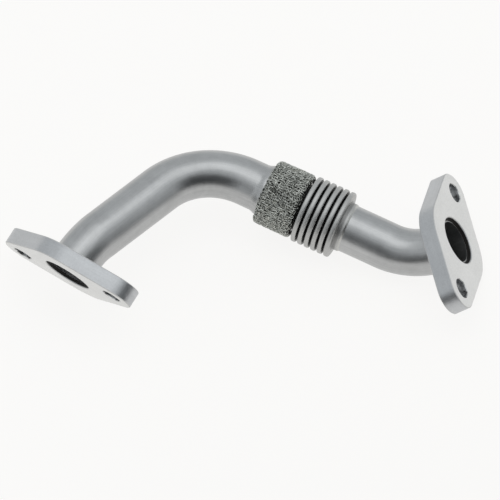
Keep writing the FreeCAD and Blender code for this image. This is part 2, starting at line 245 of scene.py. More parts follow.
def tidy_skin(piece):
    """Merge doubled points and turn every face outwards."""
    start_editing(piece)
    bpy.ops.mesh.select_all(action="SELECT")
    bpy.ops.mesh.remove_doubles(threshold=1e-6)
    bpy.ops.mesh.normals_make_consistent(inside=False)
    bpy.ops.object.mode_set(mode="OBJECT")


def keep_lay(piece, positions=None):
    """Store where each point lies on the piece as it was modelled."""
    layer = piece.data.attributes.new("lay", "FLOAT_VECTOR", "POINT")
    for index, vertex in enumerate(piece.data.vertices):
        layer.data[index].vector = positions[index] if positions else vertex.co


def into_place(piece, place, angle=35):
    """Shade the piece, move it into the pipe and bring its object back to the origin."""
    nothing_selected()
    piece.select_set(True)
    bpy.context.view_layer.objects.active = piece
    bpy.ops.object.shade_smooth_by_angle(angle=math.radians(angle))
    piece.matrix_world = place
    bpy.ops.object.transform_apply(location=True, rotation=True, scale=True)
    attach(piece, "root")
    piece.data.calc_loop_triangles()
    print(piece.name, "has", len(piece.data.loop_triangles), "triangles")


# %% [markdown]
# A bent tube starts as a ring of points. The ring is extruded down each straight and spun round
# each bend, which is the same thing that the bender does to the metal. A bend squashes a tube a
# little: it is flattest in the middle of the bend. A flare widens the ring along a smooth curve, as
# a punch does. The wall is then given its thickness inwards.

# %% Runs of a tube
BEND_FLATTENING = 0.035
STRAIGHT_STEP = 1 * MM
BEND_STEP = 2.0


def run_straight(here, length, count):
    """Extrude the selected ring down a straight. Returns the place of each new ring."""
    move = here.to_3x3() @ Vector((0, 0, length / count))
    for _ in range(count):
        bpy.ops.mesh.extrude_region_move(TRANSFORM_OT_translate={"value": move})
    return [here @ ahead(length * number / count) for number in range(1, count + 1)]


def run_bend(here, radius, angle, count):
    """Spin the selected ring round a bend. Returns the place of each new ring."""
    bpy.ops.mesh.spin(
        steps=count, dupli=False, angle=math.radians(angle),
        center=here @ Vector((0, radius, 0)), axis=here.to_3x3() @ Vector((1, 0, 0)),
    )
    return [here @ bent(radius, angle * number / count) for number in range(1, count + 1)]


def run_route(route):
    """Take the selected ring down a route. Returns for each ring its place, the length and the turn
    of the bend plane so far, how deep it is in a bend from 0 to 1, and how much it is widened."""
    here = Matrix.Identity(4)
    along = turn = wide = 0.0
    rings = [(here, along, turn, 0.0, wide)]
    for kind, *numbers in route:
        if kind == "bend":
            radius, angle, plane_turn = numbers
            turn += plane_turn
            length = radius * math.radians(angle)
            places = run_bend(here @ turned(plane_turn), radius, angle, round(angle / BEND_STEP))
        else:
            length = numbers[0]
            places = run_straight(here, length, max(1, round(length / STRAIGHT_STEP)))
        for number, place in enumerate(places, start=1):
            share = number / len(places)
            depth = math.sin(math.pi * share) if kind == "bend" else 0.0
            rise = numbers[1] * share ** 2 * (3 - 2 * share) if kind == "flare" else 0.0
            rings.append((place, along + length * share, turn, depth, wide + rise))
        here, along, turn, _, wide = rings[-1]
        along = round(along, 9)
    return rings


# %% The two tubes
def ring_point(point, depth, wide):
    """A point of a ring, squashed towards the bend's neutral line and widened."""
    grow = 1 + wide / TUBE_RADIUS
    across = point.x * (1 + BEND_FLATTENING * depth / 3) * grow
    return Vector((across, point.y * (1 - BEND_FLATTENING * depth) * grow, 0))


def bent_tube(name, route, place):
    """A tube along a route, with a wall."""
    nothing_selected()
    bpy.ops.mesh.primitive_circle_add(vertices=SEGMENTS, radius=TUBE_RADIUS, location=(0, 0, 0))
    tube = bpy.context.object
    tube.name = name
    bpy.ops.object.mode_set(mode="EDIT")
    bpy.ops.mesh.select_all(action="SELECT")
    rings = run_route(route)
    bpy.ops.object.mode_set(mode="OBJECT")

    lay = []
    for index, vertex in enumerate(tube.data.vertices):
        stop, along, turn, depth, wide = rings[index // SEGMENTS]
        point = stop.inverted() @ vertex.co
        straight = turned(turn) @ Vector((point.x, point.y, 0))
        lay.append(Vector((straight.x, straight.y, along)))
        vertex.co = stop @ ring_point(point, depth, wide)
    miss = (walk(Matrix.Identity(4), route).translation - rings[-1][0].translation).length
    print(name, "is", round(rings[-1][1] / MM, 1), "mm long, its end off by mm", round(miss / MM, 4))
    keep_lay(tube, lay)
    tidy_skin(tube)
    give_wall(tube, TUBE_WALL)
    into_place(tube, place)
    return tube


inlet_tube = bent_tube("inlet_tube_skin", INLET_ROUTE, inlet_tube_place)
outlet_tube = bent_tube("outlet_tube_skin", OUTLET_ROUTE, outlet_tube_place)
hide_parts("inlet_tube")
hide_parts("outlet_tube")

# %% [markdown]
# The bellows is one thin tube whose wall was pushed out into waves by pressure. Its shape is a
# half section spun once round. The section starts as one point, and is drawn by extruding that
# point up each wall and over each crest. The sharp corners are then bevelled, which rounds the
# crests and the roots, as in the real formed metal.

# %% Helpers for a half section
def single_point(name, position):
    """A mesh of one point, made from a small plane that is merged at its centre."""
    nothing_selected()
    bpy.ops.mesh.primitive_plane_add(size=MM, location=(0, 0, 0))
    piece = bpy.context.object
    piece.name = name
    bpy.ops.object.mode_set(mode="EDIT")
    bpy.ops.mesh.select_all(action="SELECT")
    bpy.ops.mesh.merge(type="CENTER")
    bpy.ops.transform.translate(value=position)
    return piece


def draw_section(name, points):
    """A chain of edges through points that are given as (radius, height)."""
    piece = single_point(name, (points[0][0], 0, points[0][1]))
    for (radius_a, height_a), (radius_b, height_b) in zip(points, points[1:]):
        move = (radius_b - radius_a, 0, height_b - height_a)
        bpy.ops.mesh.extrude_region_move(TRANSFORM_OT_translate={"value": move})
    bpy.ops.mesh.select_all(action="DESELECT")
    return piece


def close_section():
    """Join the ends of the edited chain, so that it spins into a closed ring."""
    bpy.ops.mesh.select_all(action="SELECT")
    bpy.ops.mesh.edge_face_add()
    bpy.ops.mesh.delete(type="ONLY_FACE")
    bpy.ops.mesh.select_all(action="DESELECT")


def round_corners(piece, wanted, offset, segments):
    """Bevel the corners of a section for which wanted(position) is true."""
    pick_points(piece, wanted)
    bpy.ops.mesh.bevel(offset=offset, segments=segments, affect="VERTICES")
    bpy.ops.mesh.select_all(action="DESELECT")


def spin_section(piece, steps):
    """Turn a section once round Z into a skin."""
    bpy.ops.mesh.select_all(action="SELECT")
    bpy.ops.mesh.spin(
        steps=steps, dupli=False, angle=math.tau, center=(0, 0, 0), axis=(0, 0, 1),
        use_auto_merge=True,
    )
    bpy.ops.object.mode_set(mode="OBJECT")
    tidy_skin(piece)


# %% The bellows
BELLOWS_RADIUS = 15.8 * MM
BELLOWS_WALL = 0.4 * MM
ROOT_RADIUS = 11.45 * MM
INLET_NECK_RADIUS = 10.75 * MM
CREST_WIDTH = 2.2 * MM
CREST_ROUND = 0.7 * MM
ROOT_ROUND = 0.3 * MM


def make_bellows():
    """The waves and both necks, in one thin skin."""
    groove = (PITCH - CREST_WIDTH) / 2
    shoulder = INLET_NECK - BELLOWS_WALL
    points = [(INLET_NECK_RADIUS, 0), (INLET_NECK_RADIUS, shoulder), (ROOT_RADIUS, shoulder)]
    for wave in range(WAVES):
        foot = INLET_NECK + wave * PITCH
        points += [
            (ROOT_RADIUS, foot + groove),
            (BELLOWS_RADIUS, foot + groove),
            (BELLOWS_RADIUS, foot + PITCH - groove),
            (ROOT_RADIUS, foot + PITCH - groove),
        ]
    points.append((ROOT_RADIUS, BELLOWS_LENGTH))
    bellows = draw_section("bellows_skin", points)
    waves_end = BELLOWS_LENGTH - OUTLET_NECK
    round_corners(bellows, lambda p: p.x > BELLOWS_RADIUS - MM, CREST_ROUND, 6)
    round_corners(bellows, lambda p: p.x < ROOT_RADIUS + MM and MM < p.z < waves_end, ROOT_ROUND, 3)
    spin_section(bellows, 2 * SEGMENTS)
    keep_lay(bellows)
    give_wall(bellows, BELLOWS_WALL)
    into_place(bellows, bellows_place)
    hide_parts("bellows")
    return bellows


bellows = make_bellows()

# %% [markdown]
# The ring is made of fine knitted wire, rolled up and pressed. Its body here is a rough core with
# rounded ends that is slightly smaller than the ring. The core is near black: that is painted shade,
# the dark deep among the wires. Over it run rows of knitted loops. One row is a closed wire whose
# loops follow the formula of a knitted stitch: along, across and in and out. The rows overlap, and
# smooth noise pushes them about, as the press did. Vector noise takes its start from the clock unless
# it gets a seed, so it gets one here and every run makes the same ring.

# %% The wire ring's core
RING_LENGTH = 18.4 * MM
RING_SMALL_RADIUS = 15.45 * MM
RING_LARGE_RADIUS = 15.65 * MM
RING_INNER_RADIUS = 12.05 * MM
RING_EDGE = 1.9 * MM
CORE_DEPTH = 0.75 * MM
CORE_EDGE = 1.6 * MM
CORE_LUMP = 0.16 * MM
LUMP_SIZE = 0.9 * MM
CORE_SKIN = 0.2 * MM


def ring_radius(height):
    """The ring's outer radius at a height, with its rounded ends."""
    share = height / RING_LENGTH
    radius = RING_SMALL_RADIUS + (RING_LARGE_RADIUS - RING_SMALL_RADIUS) * share
    to_end = max(0.0, min(height, RING_LENGTH - height))
    if to_end < RING_EDGE:
        inward = 1 - to_end / RING_EDGE
        radius -= RING_EDGE * (1 - math.sqrt(max(0.0, 1 - inward ** 2)))
    return radius


def make_ring_core():
    """The pressed body under the loops, lumpy all over. Its near black colour is painted shade."""
    small = RING_SMALL_RADIUS - CORE_DEPTH
    large = RING_LARGE_RADIUS - CORE_DEPTH
    low = CORE_DEPTH / 2
    high = RING_LENGTH - CORE_DEPTH / 2
    core = draw_section("wire_ring_core", [
        (RING_INNER_RADIUS, low), (small, low), (large, high), (RING_INNER_RADIUS, high),
    ])
    close_section()
    round_corners(core, lambda p: p.x > RING_INNER_RADIUS + MM, CORE_EDGE, 4)
    bpy.ops.mesh.select_all(action="SELECT")
    bpy.ops.mesh.subdivide(number_cuts=3)
    spin_section(core, 2 * SEGMENTS)
    for vertex in core.data.vertices:
        outward = Vector((vertex.co.x, vertex.co.y, 0))
        if outward.length > RING_INNER_RADIUS + CORE_SKIN:
            vertex.co += outward.normalized() * noise.noise(vertex.co / LUMP_SIZE) * CORE_LUMP
    keep_lay(core)
    into_place(core, ring_place, angle=60)
    return core


# %% The knitted loops
WIRE_RADIUS = 0.22 * MM
ROWS = 15
LOOPS = 40
POINTS_PER_LOOP = 10
LAYERS = 2
LOOP_RADIUS = 15.4 * MM
ROW_MARGIN = 0.6 * MM
WIRE_MARGIN = 0.12 * MM
PRESS_PUSH = 0.7 * MM
PUSH_SIZE = 1.9 * MM
PRESS_CRUMPLE = 0.6 * MM
CRUMPLE_SIZE = 0.95 * MM
KNIT_SEED = 1
noise.seed_set(KNIT_SEED)


def stitch(turn, row, layer):
    """A point of a row of knitting, turn being the count of loops so far."""
    phase = math.tau * turn
    row_pitch = (RING_LENGTH - 2 * ROW_MARGIN) / ROWS
    height = ROW_MARGIN + row_pitch * (row + 0.5 + 0.5 * layer + 0.72 * math.cos(phase))
    angle = math.tau * (turn + 0.27 * math.sin(2 * phase) + 0.5 * (row % 2) + 0.31 * layer) / LOOPS
    height = min(max(height, 0.15 * MM), RING_LENGTH - 0.15 * MM)
    spot = Vector((math.cos(angle), math.sin(angle), 0)) * LOOP_RADIUS + Vector((0, 0, height))
    push_seed = Vector((row * 0.37, layer * 5.1, 0))
    push = noise.noise_vector(spot / PUSH_SIZE + push_seed) * PRESS_PUSH
    crumple_seed = Vector((layer * 3.3, 0, row * 1.7))
    crumple = noise.noise_vector(spot / CRUMPLE_SIZE + crumple_seed) * PRESS_CRUMPLE
    angle += (push.x + crumple.x) / LOOP_RADIUS
    height += push.y + crumple.y
    height = min(max(height, WIRE_MARGIN), RING_LENGTH - WIRE_MARGIN)
    depth = (0.17 + 0.32 * layer + 0.17 * math.cos(2 * phase)) * MM + abs(crumple.z)
    radius = ring_radius(height) - WIRE_RADIUS - depth
    return Vector((radius * math.cos(angle), radius * math.sin(angle), height))


def knit_row(row, layer):
    """One closed row of loops, as a round wire."""
    nothing_selected()
    bpy.ops.curve.primitive_nurbs_circle_add(radius=LOOP_RADIUS, location=(0, 0, 0))
    wire = bpy.context.object
    curve = wire.data
    curve.splines.clear()
    spline = curve.splines.new("NURBS")
    count = LOOPS * POINTS_PER_LOOP
    spline.points.add(count - 1)
    for index, point in enumerate(spline.points):
        point.co = (*stitch(index / POINTS_PER_LOOP, row, layer), 1)
    spline.use_cyclic_u = True
    spline.order_u = 3
    spline.resolution_u = 1
    curve.bevel_depth = WIRE_RADIUS
    curve.bevel_resolution = 0
    bpy.ops.object.convert(target="MESH")
    return bpy.context.object


def make_ring_knit(layer):
    """All the rows of one layer of knitting, joined."""
    rows = [knit_row(row, layer) for row in range(ROWS - layer)]
    nothing_selected()
    for row in rows:
        row.select_set(True)
    bpy.context.view_layer.objects.active = rows[0]
    bpy.ops.object.join()
    knit = bpy.context.object
    knit.name = f"wire_ring_knit_{layer + 1}"
    keep_lay(knit)
    into_place(knit, ring_place, angle=80)
    return knit


ring_core = make_ring_core()
ring_knits = [make_ring_knit(layer) for layer in range(LAYERS)]
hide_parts("wire_ring")

# %% [markdown]
# A weld bead has a scale of fine ripples, one for each small step of the torch. Each bead is a
# section spun round in many steps, and its points are then moved in and out along the way. The
# beads in the ports are fillets between the tube's set-back end and the wall of the bore. The neck
# seams run round both ends of the bellows, in the corner between a wall's open edge and the wall
# that it stands on.

# %% The weld beads
PORT_WELD_SETBACK = 0.7 * MM
PORT_WELD_WIDTH = 1.1 * MM
INLET_SEAM = 0.8 * MM
OUTLET_SEAM = 0.8 * MM
BEAD_STEPS = 360
BEAD_WANDER = 0.04
PORT_RIPPLES = 60
PORT_SWELL = 0.04
SEAM_RIPPLES = 64
SEAM_SWELL = 0.03


def make_bead(name, place, points, ripples, ripple_share):
    """A closed ring of weld. Its section swells and shrinks by a share of itself, ripple by ripple,
    and wanders slowly besides."""
    bead = draw_section(name, points)
    close_section()
    bpy.ops.mesh.select_all(action="SELECT")
    bpy.ops.mesh.subdivide(number_cuts=3)
    bpy.ops.mesh.select_all(action="DESELECT")
    spin_section(bead, BEAD_STEPS)
    middle = Vector((sum(p[0] for p in points), 0, sum(p[1] for p in points))) / len(points)
    for vertex in bead.data.vertices:
        angle = math.atan2(vertex.co.y, vertex.co.x)
        from_middle = math.hypot(vertex.co.x, vertex.co.y) - middle.x
        wander = noise.noise(Vector((math.cos(angle), math.sin(angle), len(name))) * 2.5)
        grow = 1 + math.cos(ripples * angle + 3 * wander) * ripple_share + wander * BEAD_WANDER
        radius = middle.x + from_middle * grow
        height = middle.z + (vertex.co.z - middle.z) * grow
        vertex.co = (radius * math.cos(angle), radius * math.sin(angle), height)
    keep_lay(bead)
    into_place(bead, place, angle=50)
    return bead


port_points = [
    (BORE_RADIUS, PORT_WELD_SETBACK),
    (BORE_RADIUS - PORT_WELD_WIDTH, TUBE_RECESS),
    (BORE_RADIUS, TUBE_RECESS),
]
inlet_bead = make_bead("inlet_port_bead", inlet_face, port_points, PORT_RIPPLES, PORT_SWELL)
outlet_bead = make_bead("outlet_port_bead", outlet_face, port_points, PORT_RIPPLES, PORT_SWELL)
inlet_seam = make_bead("inlet_neck_bead", inlet_tube_end, [
    (INLET_NECK_RADIUS, 0), (INLET_NECK_RADIUS + INLET_SEAM, 0), (INLET_NECK_RADIUS, INLET_SEAM),
], SEAM_RIPPLES, SEAM_SWELL)
outlet_seam = make_bead("outlet_neck_bead", bellows_end, [
    (TUBE_RADIUS, 0), (ROOT_RADIUS, 0), (TUBE_RADIUS, OUTLET_SEAM),
], SEAM_RIPPLES, SEAM_SWELL)
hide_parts("inlet_port_weld")
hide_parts("outlet_port_weld")
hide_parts("inlet_neck_seam")
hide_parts("outlet_neck_seam")

# %% [markdown]
# The finishes. Each effect that several materials share is a node group with named sockets, built
# once. Base colour, roughness and the height of the bump vary over the surface through these
# groups. What is the same all over is set on the shader itself.

# %% Helpers for nodes
def new_group(name, inputs, outputs):
    """An empty shader node group. Inputs are (name, kind, value), outputs (name, kind)."""
    tree = bpy.data.node_groups.new(name, "ShaderNodeTree")
    for title, kind, value in inputs:
        socket = tree.interface.new_socket(title, in_out="INPUT", socket_type=f"NodeSocket{kind}")
        if value is not None:
            socket.default_value = value
    for title, kind in outputs:
        tree.interface.new_socket(title, in_out="OUTPUT", socket_type=f"NodeSocket{kind}")
    return tree, tree.nodes.new("NodeGroupInput"), tree.nodes.new("NodeGroupOutput")


def plug(tree, node, links):
    """Fill a node's inputs. An input is a value or another node's output."""
    for socket, value in links.items():
        if isinstance(value, bpy.types.NodeSocket):
            tree.links.new(value, node.inputs[socket])
        else:
            node.inputs[socket].default_value = value
    return node


def add_node(tree, kind, links, **settings):
    """A node with its inputs and settings."""
    node = tree.nodes.new(f"ShaderNode{kind}")
    for setting, value in settings.items():
        setattr(node, setting, value)
    return plug(tree, node, links)


def use_group(tree, group, links):
    """A group placed in a material."""
    node = tree.nodes.new("ShaderNodeGroup")
    node.node_tree = group
    return plug(tree, node, links)


def calc(tree, operation, first, second=0.5, third=0.0):
    """The output of a math node."""
    return add_node(tree, "Math", {0: first, 1: second, 2: third}, operation=operation).outputs[0]


def total(tree, *terms):
    """The sum of several outputs and numbers."""
    result = terms[0]
    for term in terms[1:]:
        result = calc(tree, "ADD", result, term)
    return result


def stretched(tree, vector, scale):
    """A vector multiplied by three factors."""
    links = {0: vector, 1: scale}
    return add_node(tree, "VectorMath", links, operation="MULTIPLY").outputs[0]


def speckle(tree, vector, scale, detail=2.0, roughness=0.5):
    """A noise texture that swings about zero."""
    links = {"Vector": vector, "Scale": scale, "Detail": detail, "Roughness": roughness}
    return calc(tree, "SUBTRACT", add_node(tree, "TexNoise", links).outputs[0], 0.5)


def between(tree, value, low, high):
    """A mask that rises smoothly from 0 at low to 1 at high. Low may be the larger."""
    links = {"Value": value, "From Min": low, "From Max": high, "To Min": 0.0, "To Max": 1.0}
    return add_node(tree, "MapRange", links, interpolation_type="SMOOTHSTEP").outputs[0]


# %% The shared effects
def draw_lines_group():
    """Fine lines along Z, as drawing leaves on a tube, and the satin grain over them."""
    tree, given, result = new_group(
        "draw_lines",
        [("Vector", "Vector", None), ("Lines", "Float", 0.5), ("Grain", "Float", 0.5)],
        [("Tone", "Float"), ("Height", "Float")],
    )
    vector = given.outputs["Vector"]
    fine = speckle(tree, stretched(tree, vector, (1, 1, 0.03)), 1500, 3.0, 0.6)
    broad = speckle(tree, stretched(tree, vector, (1, 1, 0.05)), 320)
    line = total(tree, calc(tree, "MULTIPLY", fine, 0.6), calc(tree, "MULTIPLY", broad, 0.4))
    grain = calc(tree, "MULTIPLY", speckle(tree, vector, 5200), given.outputs["Grain"])
    tone = total(tree, calc(tree, "MULTIPLY", line, given.outputs["Lines"]), grain)
    plug(tree, result, {"Tone": tone, "Height": total(tree, tone, 0.5)})
    return tree


def clouding_group():
    """Broad soft patches and smudges, as handled metal has."""
    tree, given, result = new_group(
        "clouding", [("Vector", "Vector", None), ("Strength", "Float", 0.5)], [("Tone", "Float")],
    )
    vector = given.outputs["Vector"]
    broad = calc(tree, "MULTIPLY", speckle(tree, vector, 55, 3.0, 0.55), 0.6)
    small = calc(tree, "MULTIPLY", speckle(tree, vector, 330, 4.0, 0.6), 0.4)
    tone = calc(tree, "MULTIPLY", total(tree, broad, small), given.outputs["Strength"])
    plug(tree, result, {"Tone": tone})
    return tree


DRAW_LINES = draw_lines_group()
CLOUDING = clouding_group()


# %% Helpers for materials
def new_material(name):
    """A material with an empty tree but for its shader and output."""
    material = bpy.data.materials.new(name)
    material.use_nodes = True
    tree = material.node_tree
    tree.nodes.clear()
    shader = tree.nodes.new("ShaderNodeBsdfPrincipled")
    output = tree.nodes.new("ShaderNodeOutputMaterial")
    tree.links.new(shader.outputs[0], output.inputs["Surface"])
    return material, tree, shader


def scaled_colour(tree, colour, level):
    """A colour made lighter or darker by a level."""
    return add_node(tree, "VectorMath", {0: colour, "Scale": level}, operation="SCALE").outputs[0]


def lay_vector(tree):
    """The attribute that says where a point lay when its piece was modelled."""
    return add_node(tree, "Attribute", {}, attribute_name="lay").outputs["Vector"]


def finish_metal(tree, shader, base, roughness, height, bump, distance):
    """Plug a metal's changing colour, roughness and relief into its shader."""
    relief = add_node(tree, "Bump", {"Height": height, "Strength": bump, "Distance": distance})
    links = {"Base Color": base, "Roughness": roughness, "Normal": relief.outputs[0]}
    plug(tree, shader, links)
    shader.inputs["Metallic"].default_value = 1.0


# %% [markdown]
# Drawn stainless tube is satin: lines run along it, and the light bands on it have soft edges. The
# same recipe, with other numbers, serves the tubes, the weld, the wires and the core under them. The
# weld in the ports and the core under the wires are near black: that is painted shade. The bellows
# adds painted shade in its deep grooves. A mask reads how far a point lies from the axis and
# blackens the steel towards the roots, but not past the last wave, where the end wall stands open to
# the light. There a painted shadow darkens the foot of that end wall and the start of the outlet
# neck. The inside of the pipe is near black as painted shade. It is dull and has a recipe of its own.

# %% Drawn and formed steel
STEEL_RELIEF = 0.04 * MM
UNEVEN_ROUGHNESS = 0.2


def steel_material(name, colour, roughness, lines, grain, clouds, bump, shade=None):
    """Stainless steel with marks along Z. Shade may give a mask that darkens it: painted shade."""
    material, tree, shader = new_material(name)
    lay = lay_vector(tree)
    drawn = use_group(tree, DRAW_LINES, {"Vector": lay, "Lines": lines, "Grain": grain})
    cloud = use_group(tree, CLOUDING, {"Vector": lay, "Strength": clouds})
    line_tone = drawn.outputs["Tone"]
    cloud_tone = cloud.outputs["Tone"]
    level = total(tree, line_tone, cloud_tone, 1.0)
    if shade:
        level = calc(tree, "MULTIPLY", level, shade(tree, lay))
    uneven = calc(tree, "MULTIPLY", total(tree, line_tone, cloud_tone), UNEVEN_ROUGHNESS)
    finish_metal(
        tree, shader, scaled_colour(tree, colour, level), total(tree, uneven, roughness),
        drawn.outputs["Height"], bump, STEEL_RELIEF,
    )
    return material


# %% Painted shade in the grooves and painted shadow on the outlet neck
# How dark the painted shade in the grooves and the painted shadow on the outlet neck are, and where
# they fall.
GROOVE_PAINTED_SHADE = 0.10
GROOVE_DEEP = 13.4 * MM
GROOVE_OPEN = 15.5 * MM
NECK_PAINTED_SHADOW = 0.6
NECK_SHADE = 1.6 * MM
NECK_LOW = 11.7 * MM
NECK_HIGH = 12.6 * MM


def painted_groove_shade(tree, lay):
    """How light the bellows' steel is: 1 on the crests, with painted shade down in the grooves and a
    painted shadow at the foot of the last end wall and on the outlet neck.
    """
    split = add_node(tree, "SeparateXYZ", {0: lay})
    flat = stretched(tree, lay, (1, 1, 0))
    radius = add_node(tree, "VectorMath", {0: flat}, operation="LENGTH").outputs["Value"]
    height = split.outputs["Z"]
    last_groove = INLET_NECK + (WAVES - 1) * PITCH + PITCH / 2
    raised = between(tree, radius, GROOVE_DEEP, GROOVE_OPEN)
    past = between(tree, height, last_groove - 0.3 * MM, last_groove + 0.3 * MM)
    low_down = between(tree, radius, NECK_HIGH, NECK_LOW)
    waves_end = INLET_NECK + WAVES * PITCH
    close_by = between(tree, height, waves_end + NECK_SHADE, waves_end + NECK_SHADE / 2)
    on_neck = calc(tree, "MULTIPLY", low_down, close_by)
    open_level = calc(tree, "MULTIPLY_ADD", on_neck, NECK_PAINTED_SHADOW - 1, 1.0)
    groove_level = calc(tree, "MULTIPLY_ADD", raised, 1 - GROOVE_PAINTED_SHADE, GROOVE_PAINTED_SHADE)
    return calc(tree, "MAXIMUM", groove_level, calc(tree, "MULTIPLY", past, open_level))


TUBE_STEEL = steel_material(
    "satin_tube_steel", (0.45, 0.455, 0.455),
    roughness=0.34, lines=0.5, grain=0.3, clouds=0.6, bump=0.35,
)
# The bellows' steel carries painted shade in its grooves and a painted shadow on its outlet neck.
BELLOWS_STEEL = steel_material(
    "formed_bellows_steel", (0.52, 0.52, 0.51),
    roughness=0.5, lines=0.08, grain=0.2, clouds=0.3, bump=0.25, shade=painted_groove_shade,
)
SEAM_STEEL = steel_material(
    "neck_seam_steel", (0.52, 0.52, 0.50),
    roughness=0.36, lines=0.0, grain=0.3, clouds=0.5, bump=0.4,
)
# The port weld is painted near black: painted shade down in the bores.
PORT_WELD_PAINTED_SHADE = steel_material(
    "port_weld_painted_shade", (0.02, 0.019, 0.018),
    roughness=0.6, lines=0.0, grain=0.3, clouds=0.6, bump=0.4,
)
WIRE_STEEL = steel_material(
    "knitted_wire_steel", (0.50, 0.51, 0.475),
    roughness=0.36, lines=0.1, grain=0.3, clouds=1.2, bump=0.3,
)
# The core is painted near black: painted shade deep among the wires.
CORE_PAINTED_SHADE = steel_material(
    "core_painted_shade", (0.05, 0.05, 0.045),
    roughness=0.7, lines=0.0, grain=0.8, clouds=0.8, bump=1.0,
)

# %% Painted shade inside the pipe
# Near black, as painted shade on the inside of the tubes and the bellows.
INSIDE_SHADE_BLACK = (0.002, 0.0019, 0.0018)


def inside_shade_material():
    """The dull, near black inside of the pipe: painted shade."""
    material, tree, shader = new_material("inside_painted_shade")
    lay = lay_vector(tree)
    cloud = use_group(tree, CLOUDING, {"Vector": lay, "Strength": 1.0}).outputs["Tone"]
    base = scaled_colour(tree, INSIDE_SHADE_BLACK, total(tree, cloud, 1.0))
    plug(tree, shader, {"Base Color": base})
    shader.inputs["Roughness"].default_value = 0.9
    shader.inputs["Specular IOR Level"].default_value = 0.02
    return material


INSIDE_PAINTED_SHADE = inside_shade_material()

# %% [markdown]
# The flanges are cut from plate. Their faces were blasted, which leaves them light and matt with
# fine pits. Their side walls are smoother, a little bluer, and carry fine lines that run round the
# plate. The flanges are turned in space, so a Mapping node brings the pattern back into each
# flange's own directions: its Z is through the plate and its X runs from bolt to bolt. Masks made
# from those directions tell the faces, the side walls and the bolt holes apart.

# %% Blasted flange steel
FACE_STEEL = (0.79, 0.79, 0.78)
WALL_STEEL = (0.53, 0.54, 0.55)
PLATE = 8 * MM
HALF_SPACING = 28 * MM
HOLE_RADIUS = 4.5 * MM
PIT_DARK = 0.3
EDGE_DARK = 0.22
# Painted light and shade in the bolt holes: how far the patches swing, and how much darker they are on
# average.
HOLE_LIGHT_SWING = 3.5
HOLE_SHADE_LEVEL = -0.2
FACE_ROUGHNESS = 0.52
WALL_ROUGHNESS = 0.40
PLATE_RELIEF = 0.06 * MM


def own_vector(tree, place):
    """The flange's own coordinates: Z through the plate and X from bolt to bolt."""
    coordinates = add_node(tree, "TexCoord", {})
    links = {
        "Vector": coordinates.outputs["Object"],
        "Location": place.translation,
        "Rotation": place.to_euler(),
    }
    return add_node(tree, "Mapping", links, vector_type="TEXTURE").outputs[0]


def hole_mask(tree, split):
    """1 on the walls of the two bolt holes, and 0 elsewhere."""
    off = calc(tree, "SUBTRACT", calc(tree, "ABSOLUTE", split.outputs["X"]), HALF_SPACING)
    reach = add_node(tree, "CombineXYZ", {"X": off, "Y": split.outputs["Y"]}).outputs[0]
    distance = add_node(tree, "VectorMath", {0: reach}, operation="LENGTH").outputs["Value"]
    return between(tree, distance, HOLE_RADIUS + 0.5 * MM, HOLE_RADIUS + 0.2 * MM)


def from_middle(tree, split):
    """How far a point lies from the plate's middle plane."""
    return calc(tree, "ABSOLUTE", calc(tree, "SUBTRACT", split.outputs["Z"], PLATE / 2))


def wall_mask(tree, split):
    """1 between the two faces of the plate, and 0 on the faces and their edges."""
    return between(tree, from_middle(tree, split), PLATE / 2 - 0.25 * MM, PLATE / 2 - 0.45 * MM)


def edge_mask(tree, split):
    """1 on the small chamfer between a face and a wall, and 0 elsewhere."""
    depth = from_middle(tree, split)
    off_face = between(tree, depth, PLATE / 2 - 0.02 * MM, PLATE / 2 - 0.1 * MM)
    off_wall = between(tree, depth, PLATE / 2 - 0.45 * MM, PLATE / 2 - 0.35 * MM)
    return calc(tree, "MULTIPLY", off_face, off_wall)


def flange_material(name, place):
    """A plate with matt blasted faces and smoother side walls."""
    material, tree, shader = new_material(name)
    own = own_vector(tree, place)
    split = add_node(tree, "SeparateXYZ", {0: own})
    wall = wall_mask(tree, split)
    hole = hole_mask(tree, split)
    cloud = use_group(tree, CLOUDING, {"Vector": own, "Strength": 0.34}).outputs["Tone"]
    pits = speckle(tree, own, 1300, 4.0, 0.7)
    round_plate = add_node(tree, "CombineXYZ", {"X": split.outputs["Z"], "Z": split.outputs["X"]})
    lines = use_group(tree, DRAW_LINES, {"Vector": round_plate.outputs[0], "Lines": 0.3, "Grain": 0.1})
    line_tone = calc(tree, "MULTIPLY", lines.outputs["Tone"], wall)
    colour = add_node(
        tree, "Mix", {"Factor": wall, 6: (*FACE_STEEL, 1), 7: (*WALL_STEEL, 1)}, data_type="RGBA",
    ).outputs[2]
    edge = calc(tree, "MULTIPLY", edge_mask(tree, split), -EDGE_DARK)
    level = total(tree, cloud, calc(tree, "MULTIPLY", pits, PIT_DARK), line_tone, edge, 1.0)
    # In the bolt holes, random patches of painted highlight and painted shade, a little darker on
    # average.
    patches = calc(tree, "MULTIPLY_ADD", speckle(tree, own, 420), HOLE_LIGHT_SWING, HOLE_SHADE_LEVEL)
    level = calc(tree, "MULTIPLY", level, calc(tree, "MULTIPLY_ADD", hole, patches, 1.0))
    smooth = calc(tree, "MULTIPLY_ADD", wall, WALL_ROUGHNESS - FACE_ROUGHNESS, FACE_ROUGHNESS)
    roughness = total(tree, calc(tree, "MULTIPLY", cloud, 0.3), smooth)
    relief = total(tree, calc(tree, "MULTIPLY", pits, 0.7), line_tone)
    finish_metal(
        tree, shader, scaled_colour(tree, colour, level), roughness, relief, 0.35, PLATE_RELIEF,
    )
    return material


# %% Dress every piece
def dress(piece, *materials):
    """Give a piece its materials, the second being for the inside of its wall."""
    piece.data.materials.clear()
    for material in materials:
        piece.data.materials.append(material)


